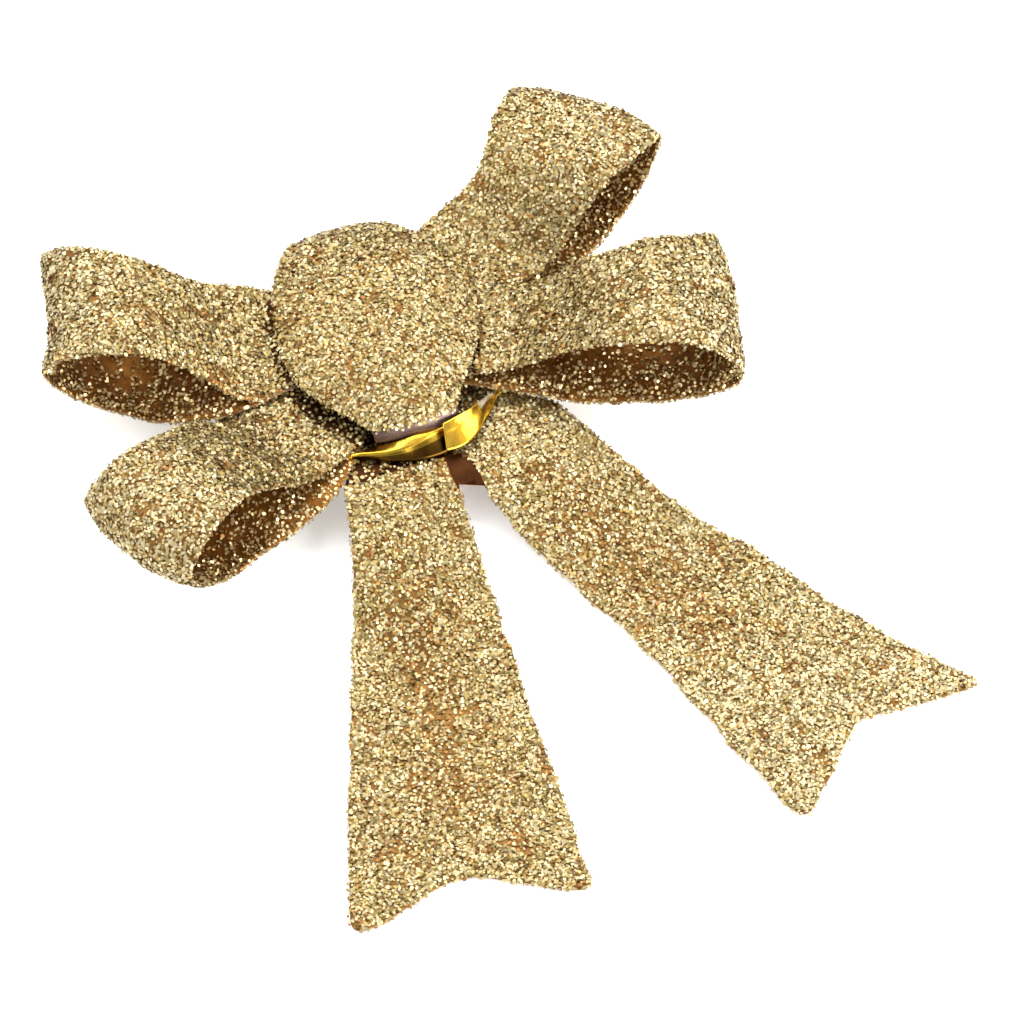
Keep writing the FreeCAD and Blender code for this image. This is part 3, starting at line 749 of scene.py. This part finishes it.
def knot_glitter(grid, seed):
    dice = np.random.default_rng(seed)
    lots = [scatter_on_grid(grid, FACE_DENSITY, 1, dice), scatter_on_rims(grid, dice)]
    place, direction = join_lots(lots)
    fade = ease(place[:, 2], BARE_FOLD_Z - 0.9, BARE_FOLD_Z + 0.5)
    keep = fade > dice.random(len(place))
    return flake_pieces("glitter_knot", place[keep], direction[keep], dice)


# ---- tails ----
def rounded(corners):
    """Cuts the corners of an open line twice, which leaves its two ends in place."""
    cut = 0.22
    line = np.array(corners, float)
    for _ in range(2):
        early = line[:-1] * (1 - cut) + line[1:] * cut
        late = line[:-1] * cut + line[1:] * (1 - cut)
        inner = np.stack([early, late], 1).reshape(-1, 2)
        line = np.vstack([line[:1], inner, line[-1:]])
    return line


def tails_outline():
    """Both tails and the yoke as one outline, with slightly wavy cut edges."""
    outline = np.vstack([YOKE_LEFT, rounded(LEFT_TAIL), rounded(RIGHT_TAIL), YOKE_RIGHT])
    start, stop = outline, np.roll(outline, -1, 0)
    dense = []
    for a, b in zip(start, stop):
        pieces = max(1, int(np.linalg.norm(b - a) / 2.5))
        dense += [a + (b - a) * i / pieces for i in range(pieces)]
    dense = np.array(dense)
    sway = ripple(dense[:, 0], dense[:, 1], 71, 13, 0.35) * ease(-dense[:, 1], 45, 60)
    normal = unit(np.roll(dense, -1, 0) - np.roll(dense, 1, 0))[:, ::-1] * (1, -1)
    return [tuple(point) for point in dense + normal * sway[:, None]]


def drape(x, y):
    """Height of the tails' middle surface over the plan."""
    share = np.clip((y - DRAPE_START) / (DRAPE_END - DRAPE_START), 0, 1)
    fall = (1 + np.cos(math.pi * share)) / 2
    wave = ripple(x, y, 31, 30, 0.5) + ripple(x, y, 33, 10, 0.16)
    waviness = ease(-y, 40, 70) * np.maximum(wave + 0.25, -0.35)
    return TAIL_REST_Z + (YOKE_Z - TAIL_REST_Z) * fall + waviness


def drape_normal(x, y):
    """Upward unit normals of the tails' middle surface."""
    step = 0.3
    dx = (drape(x + step, y) - drape(x - step, y)) / (2 * step)
    dy = (drape(x, y + step) - drape(x, y - step)) / (2 * step)
    return unit(np.stack([-dx, -dy, np.ones_like(dx)], 1))


def tails_piece():
    """The tails' film: the outline cut into small faces and lifted to the drape, as a
    shell. An edge that no second face shares is a cut edge."""
    outline = tails_outline()
    work = bmesh.new()
    work.faces.new([work.verts.new((x, y, 0)) for x, y in outline])
    pitch = 1.6
    for axis, values in zip((Vector((1, 0, 0)), Vector((0, 1, 0))), zip(*outline)):
        for place in np.arange(min(values) + pitch, max(values), pitch):
            everything = work.verts[:] + work.edges[:] + work.faces[:]
            bmesh.ops.bisect_plane(work, geom=everything, dist=1e-5, plane_co=axis * place,
                                   plane_no=axis)
    work.verts.index_update()
    plan = np.array([vertex.co[:] for vertex in work.verts])
    normal = drape_normal(plan[:, 0], plan[:, 1]) * FILM / 2
    middle = np.stack([plan[:, 0], plan[:, 1], drape(plan[:, 0], plan[:, 1])], 1)
    count = len(plan)
    work.normal_update()
    faces, slots, edges = [], [], []
    for face in work.faces:
        corners = [vertex.index for vertex in face.verts]
        if face.normal.z < 0:
            corners.reverse()
        edges += zip(corners, corners[1:] + corners[:1])
        centre = plan[corners].mean(0)
        faces.append(corners)
        # The web between the roots and the line below the foil take film painted near black as
        # shade.
        is_shade = inside_outline(centre[0], centre[1], BARE_WEB) or foil_shade_line(*centre[:2])
        slots.append(SHADE_SLOT if is_shade else FACE)
        faces.append([corner + count for corner in reversed(corners)])
        slots.append(BACK)
    known = set(edges)
    for a, b in edges:
        if (b, a) not in known:
            faces.append([b, a, a + count, b + count])
            slots.append(EDGE)
    work.free()
    slots = np.array(slots)
    return mesh_piece("tails", np.vstack([middle + normal, middle - normal]),
                      [np.array([face]) for face in faces], SHEET_MATERIALS, slots, slots != EDGE)


def tail_glitter(side, seed):
    """Glitter on one tail: thick on its face and cut edges, thinner underneath."""
    dice = np.random.default_rng(seed)
    outline = tails_outline()
    corners = np.array(LEFT_TAIL if side == "left" else RIGHT_TAIL)
    low, high = corners.min(0) - 2, corners.max(0) + 2
    high[1] = TAIL_GLITTER_END
    lots = []
    for face, density in ((1, FACE_DENSITY), (-1, BACK_DENSITY)):
        pitch = 1 / math.sqrt(density)
        x, y = np.meshgrid(np.arange(low[0], high[0], pitch), np.arange(low[1], high[1], pitch))
        x, y = (axis.ravel() + dice.uniform(-0.6, 0.6, axis.size) * pitch for axis in (x, y))
        keep = inside_outline(x, y, outline) & ~inside_outline(x, y, BARE_WEB)
        keep &= ~inside_outline(x, y, knot_outline(-4.0)) & on_tail(x, y, side)
        x, y = x[keep], y[keep]
        normal = drape_normal(x, y) * face
        place = np.stack([x, y, drape(x, y)], 1) + normal * FILM / 2
        lots.append((place, normal))
    rim = np.array(outline + outline[:1])
    rim = np.column_stack([rim, drape(rim[:, 0], rim[:, 1])])
    outward = np.gradient(rim, axis=0)[:, [1, 0, 2]] * (1, -1, 0)
    place, direction = scatter_on_line(rim, drape_normal(rim[:, 0], rim[:, 1]), unit(outward), dice)
    x, y = place[:, :2].T
    keep = on_tail(x, y, side) & (y < -20) & (direction[:, 2] > -0.2)
    keep &= ~inside_outline(x, y, BARE_WEB)
    lots.append((place[keep], direction[keep]))
    place, direction = join_lots(lots)
    # Below the foil the flakes thin out over film painted dark as its shadow.
    keep = ~foil_shade_line(*place[:, :2].T) | (dice.random(len(place)) < LEFT_IN_FOIL_SHADE)
    place, direction = place[keep], direction[keep]
    x, y = place[:, :2].T
    # The pale share towards the tail ends is painted sheen.
    pale = TAIL_END_SHEEN[side] * (0.4 + ease(-y, 80, 130))
    (x0, y0), (x1, y1) = WORN_LINE[side]
    length = math.hypot(x1 - x0, y1 - y0)
    along = ((x - x0) * (x1 - x0) + (y - y0) * (y1 - y0)) / length
    aside = ((x - x0) * (y1 - y0) - (y - y0) * (x1 - x0)) / length
    worn = 0.7 * np.exp(-(aside / 8.0)**2) * ease(along, 0, 15) * ease(length - along, 0, 15)
    return flake_pieces("glitter_tail_" + side, place, direction, dice, pale, worn)


def foil_shade_line(x, y):
    """The line below the foil tie where the tails' glitter thins out and their film is painted dark
    as the foil's shadow.
    """
    return (y > -34.0 - 0.08 * (x + 5)) & (x < 4)


def on_tail(x, y, side):
    """True on one side of the line that parts the two tails."""
    is_left = x < 3.5 + 0.05 * (y + 44)
    return is_left if side == "left" else ~is_left


# ---- foil tie ----
def foil_grid():
    """The foil strip: lapped in front, once round the tails' roots, creased lengthwise."""
    line = smooth_line(FOIL_ROWS, 300, False, 3)
    x, y, z, upper, upper_fall, lower, lower_fall = line.T[:, :, None]
    across = np.linspace(1, -1, 17)[None, :]
    tilt = 0.25 - 0.03 * np.maximum(x - 4, 0)
    up, down = np.maximum(across, 0), np.maximum(-across, 0)
    reach = up * upper - down * lower
    fall = up * upper_fall + down * lower_fall
    grid = np.stack([x + tilt * reach, y + reach, z - fall], 2)
    where = np.arange(len(line))[:, None] * 0.45
    wave = ripple(where, across * 4, 77, 9, 0.05) + 0.25 * (1 - across**2)
    return grid + grid_normals(grid, False) * wave[:, :, None]


def foil_slots(grid):
    """Tones of the foil: bright; olive then brown below the crease up to the lap, painted
    shade; pale at the end by the right tail, a painted highlight."""
    rows, columns = len(grid) - 1, grid.shape[1] - 1
    crease = columns // 2
    x, z = grid[:-1, crease, 0], grid[:-1, crease, 2]
    is_late = np.arange(rows) > rows // 2
    in_front = z > 12.6
    highlight_end = (x > 14.5) & (z > 11.0)
    slots = np.zeros((rows, columns), int)
    slots[is_late & in_front, crease + 1:crease + 3] = OLIVE_SHADE_SLOT
    slots[is_late & in_front, crease + 3:] = BROWN_SHADE_SLOT
    slots[~is_late & highlight_end, :crease - 1] = HIGHLIGHT_SLOT
    return slots.ravel()


def tie_core():
    """The steel core under the foil's crease, with round ends."""
    around = 10
    rows = [row[:3] for row in FOIL_ROWS[1:-2]]
    line = smooth_line(rows, 160, False, 3)
    line[:, 2] += np.where(line[:, 2] < 9.6, 0.45, -0.75)
    ends = np.linspace(0.2, 1, 4)
    along = unit(np.gradient(line, axis=0))
    side = unit(np.cross(along, (0, 0, 1.0)))
    other = np.cross(side, along)
    size = np.ones(len(line))
    size[:4], size[-4:] = ends, ends[::-1]
    points = line[:, None] + circles(side, other, around) * (TIE_RADIUS * size)[:, None, None]
    return mesh_piece("tie_core", points, stack_faces(len(line), around), [STEEL])


# ---- small soft parts ----
def felt_piece():
    """The felt pad: an oblong with round ends, a soft top and slightly fuzzy rim."""
    low, high = felt_low / MM - ORIGIN / MM, felt_high / MM - ORIGIN / MM
    radius = (high[1] - low[1]) / 2 - 0.15
    straight = (high[0] - low[0]) / 2 - radius - 0.15
    around, rings = 160, 14
    turns = full_turn(around)
    rim_x = radius * np.cos(turns) + straight * np.clip(4 * np.cos(turns), -1, 1)
    rim_y = radius * np.sin(turns)
    shares = np.concatenate([np.linspace(0.08, 0.985, rings), [1.0, 1.0, 0.985],
                             np.linspace(0.93, 0.08, rings)])
    heights = np.concatenate([np.full(rings, high[2]), [high[2] - 0.22, low[2] + 0.22, low[2]],
                              np.full(rings, low[2])])
    fuzz = 1 + 0.006 * np.random.default_rng(5).normal(size=(len(shares), around))
    x = shares[:, None] * rim_x * fuzz
    y = shares[:, None] * rim_y * fuzz
    z = np.repeat(heights[:, None], around, 1)
    z = z + ripple(x, y, 9, 5, 0.05) * np.where(heights > (low[2] + high[2]) / 2, -1, 1)[:, None]
    faces = stack_faces(len(shares), around, downwards=True)
    return mesh_piece("felt_pad", np.stack([x, y, z], 2), faces, [felt_material()])


def glue_piece():
    """Flattened uneven dots of hot-melt glue, where the CAD dots are."""
    low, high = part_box("glue_pads")
    felt_bottom, felt_top = felt_low[2], felt_high[2]
    dots = [(x, 0.0, low[2] / MM, felt_bottom / MM, 3.3) for x in (-18.0, 0.0, 18.0)]
    dots += [(x, 2.0, felt_top / MM, high[2] / MM, 4.7) for x in (-8.0, 4.0, 14.0)]
    around = 48
    turns = full_turn(around)
    profile = [(0.55, 0.02), (0.92, 0.04), (1.0, 0.3), (1.0, 0.7), (0.92, 0.96), (0.55, 0.98)]
    points, faces = [], []
    dice = np.random.default_rng(6)
    for x, y, bottom, top, radius in dots:
        faces += stack_faces(len(profile), around, len(points) * around)
        wobble = 1 + 0.05 * np.sin(3 * turns + dice.uniform(0, 6)) + 0.03 * np.sin(5 * turns)
        for share, rise in profile:
            level = np.full(around, bottom + rise * (top - bottom))
            points.append(np.stack([x + radius * share * wobble * np.cos(turns),
                                    y + radius * share * wobble * np.sin(turns), level], 1))
    return mesh_piece("glue_dots", np.vstack(points), faces, [glue_material()])


# ---- build ----
def place_piece(piece, node):
    """A piece rides on the bow and stands for a CAD node, which it hides."""
    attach(piece, BOW)
    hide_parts(node)


def ribbon_piece(piece, node, flat, area, held, rests_on, glitter):
    """A piece of ribbon with its glitter. The size that it was cut to is not used."""
    place_piece(piece, node)
    for lot in glitter:
        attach(lot, BOW)


def strip_size(grid):
    """Flat size and area in metres of a ring of ribbon."""
    middle = grid[:, grid.shape[1] // 2]
    length = np.linalg.norm(np.roll(middle, -1, 0) - middle, axis=1).sum()
    width = np.linalg.norm(np.diff(grid, axis=1), axis=2).sum(1)
    flat = (float(width.max()) * MM, float(length) * MM)
    return flat, float(width.mean() / width.max()) * flat[0] * flat[1]


def build_ribbons():
    upper = band_grid(UPPER_ANGLE, UPPER_Z, "upper_right", "upper_left", (35, 24), 11)
    lower = band_grid(LOWER_ANGLE, LOWER_Z, "lower_right", "lower_left", (26, 33), 15)
    lower = tuck_under(lower, upper, UPPER_ANGLE)
    face = knot_grid(41)
    upper_band = strip_shell("upper_loop_band", upper, True, FILM, SHEET_MATERIALS,
                             knot_shade_slots(upper))
    lower_band = strip_shell("lower_loop_band", lower, True, FILM, SHEET_MATERIALS,
                             knot_shade_slots(lower))
    # Below BARE_FOLD_Z the knot takes the fold film, its sheen painted into its colour.
    slots = np.where(face[:, :-1, 2] < BARE_FOLD_Z - 0.2, FOLD, FACE).ravel()
    knot = strip_shell("knot", face, True, FILM, SHEET_MATERIALS, slots)
    ribbon_piece(upper_band, "loop_band_upper", *strip_size(upper), "folded", ["lower_loop_band"],
                 loop_glitter("glitter_upper", upper, UPPER_ANGLE, LOWER_ANGLE, -1, 101))
    ribbon_piece(lower_band, "loop_band_lower", *strip_size(lower), "folded", ["knot"],
                 loop_glitter("glitter_lower", lower, LOWER_ANGLE, UPPER_ANGLE, 1, 102))
    ribbon_piece(knot, "knot_strip", *strip_size(face), "folded", ["upper_loop_band"],
                 knot_glitter(face, 301))


def build_tails():
    outline = tails_outline()
    corners = zip(outline, outline[1:] + outline[:1])
    area = 0.5 * abs(sum(x0 * y1 - x1 * y0 for (x0, y0), (x1, y1) in corners))
    xs, ys = zip(*outline)
    flat = ((max(xs) - min(xs)) * MM, (max(ys) - min(ys)) * MM)
    glitter = tail_glitter("left", 201) + tail_glitter("right", 202)
    ribbon_piece(tails_piece(), "tail_strip", flat, area * MM * MM, "laid", ["felt_pad"], glitter)


build_ribbons()
build_tails()
foil = foil_grid()
place_piece(strip_shell("foil_strip", foil, False, FOIL_THICKNESS, FOIL_MATERIALS,
                        foil_slots(foil)), "foil_tie")
place_piece(tie_core(), "tie_wire")
felt = felt_piece()
place_piece(felt, "felt_backing")
place_piece(glue_piece(), "glue_pads")
for node, material in (("barrette_base", NICKEL), ("clasp_arm", NICKEL), ("tension_bar", NICKEL),
                       ("bar_rivets", STEEL), ("hinge_pin", STEEL)):
    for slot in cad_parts[node].material_slots:
        slot.material = material


# ---- studio ----
def floor():
    """Pale paper, clear from below so that the clip can be looked at."""
    half = 3.0
    points = np.array([(-half, -half, 0), (half, -half, 0), (half, half, 0), (-half, half, 0)])
    material, tree, shader = new_material("studio_floor", (0.96, 0.96, 0.96), 0.0, 0.6)
    shader.inputs["Emission Color"].default_value = (1, 1, 1, 1)
    shader.inputs["Emission Strength"].default_value = 0.36
    paper = noise(tree, 400, 2)
    bump(tree, shader, paper, 0.05, 0.0002)
    side = add_node(tree, "ShaderNodeNewGeometry")
    clear = add_node(tree, "ShaderNodeBsdfTransparent")
    mix = add_node(tree, "ShaderNodeMixShader")
    tree.links.new(side.outputs["Backfacing"], mix.inputs[0])
    tree.links.new(shader.outputs["BSDF"], mix.inputs[1])
    tree.links.new(clear.outputs["BSDF"], mix.inputs[2])
    tree.links.new(mix.outputs["Shader"], tree.nodes["Material Output"].inputs["Surface"])
    mesh = bpy.data.meshes.new("studio_floor")
    mesh.from_pydata(points.tolist(), [], [(0, 1, 2, 3)])
    mesh.materials.append(material)
    add_object("studio_floor", mesh)


def softbox(name, direction, size, power):
    """A square area light a metre from the bow, that looks at it from a direction."""
    light = bpy.data.lights.new(name, "AREA")
    light.size = size
    light.energy = power
    lamp = add_object(name, light)
    direction = Vector(direction).normalized()
    lamp.location = Vector(ORIGIN) + Vector((0, -0.03, 0)) + direction
    lamp.rotation_mode = "QUATERNION"
    lamp.rotation_quaternion = direction.to_track_quat("Z", "Y")


def studio():
    """Even pale light from all round, darker round the camera, with four soft boxes."""
    world = bpy.data.worlds.new("studio")
    world.use_nodes = True
    tree = world.node_tree
    around = add_node(tree, "ShaderNodeTexCoord")
    facing = add_node(tree, "ShaderNodeVectorMath", operation="DOT_PRODUCT")
    facing.inputs[1].default_value = (-0.25, -0.60, 0.76)
    tree.links.new(around.outputs["Generated"], facing.inputs[0])
    limits = {"From Min": 0.80, "From Max": 0.97, "To Min": 1.0, "To Max": 0.42}
    shade = add_node(tree, "ShaderNodeMapRange", interpolation_type="SMOOTHSTEP", **limits)
    tree.links.new(facing.outputs["Value"], shade.inputs["Value"])
    background = tree.nodes["Background"]
    background.inputs["Color"].default_value = (1, 0.985, 0.95, 1)
    tree.links.new(shade.outputs["Result"], background.inputs["Strength"])
    bpy.context.scene.world = world
    softbox("key", (-0.85, 0.35, 1.0), 0.8, 4.6)
    softbox("top", (0.25, 0.7, 1.0), 0.8, 7.5)
    softbox("fill", (0.95, -0.35, 0.8), 0.6, 6.5)
    softbox("front", (0.4, -1.0, 0.32), 0.6, 12)
    bpy.context.scene.view_settings.view_transform = "Standard"


def camera():
    """A long lens at the bow's left front, 55 degrees up, aimed a little to the right of
    and below the bow's middle."""
    azimuth, elevation = math.radians(-25.0), math.radians(55.0)
    distance = 1.45
    aim_right, aim_down = 0.0203, 0.0182
    back = Vector((math.sin(azimuth) * math.cos(elevation),
                   -math.cos(azimuth) * math.cos(elevation), math.sin(elevation)))
    right = Vector((math.cos(azimuth), math.sin(azimuth), 0))
    up = back.cross(right)
    data = bpy.data.cameras.new("camera")
    data.lens = 213.1
    eye = add_object("camera", data)
    aim = Vector(ORIGIN) + Vector((0, -0.008, 0))
    eye.location = aim + back * distance
    forward = (-back + right * aim_right - up * aim_down).normalized()
    side = forward.cross(up).normalized()
    head = side.cross(forward)
    eye.rotation_mode = "QUATERNION"
    eye.rotation_quaternion = Matrix((side, head, -forward)).transposed().to_quaternion()
    data.dof.use_dof = False
    bpy.context.scene.camera = eye


floor()
studio()
camera()
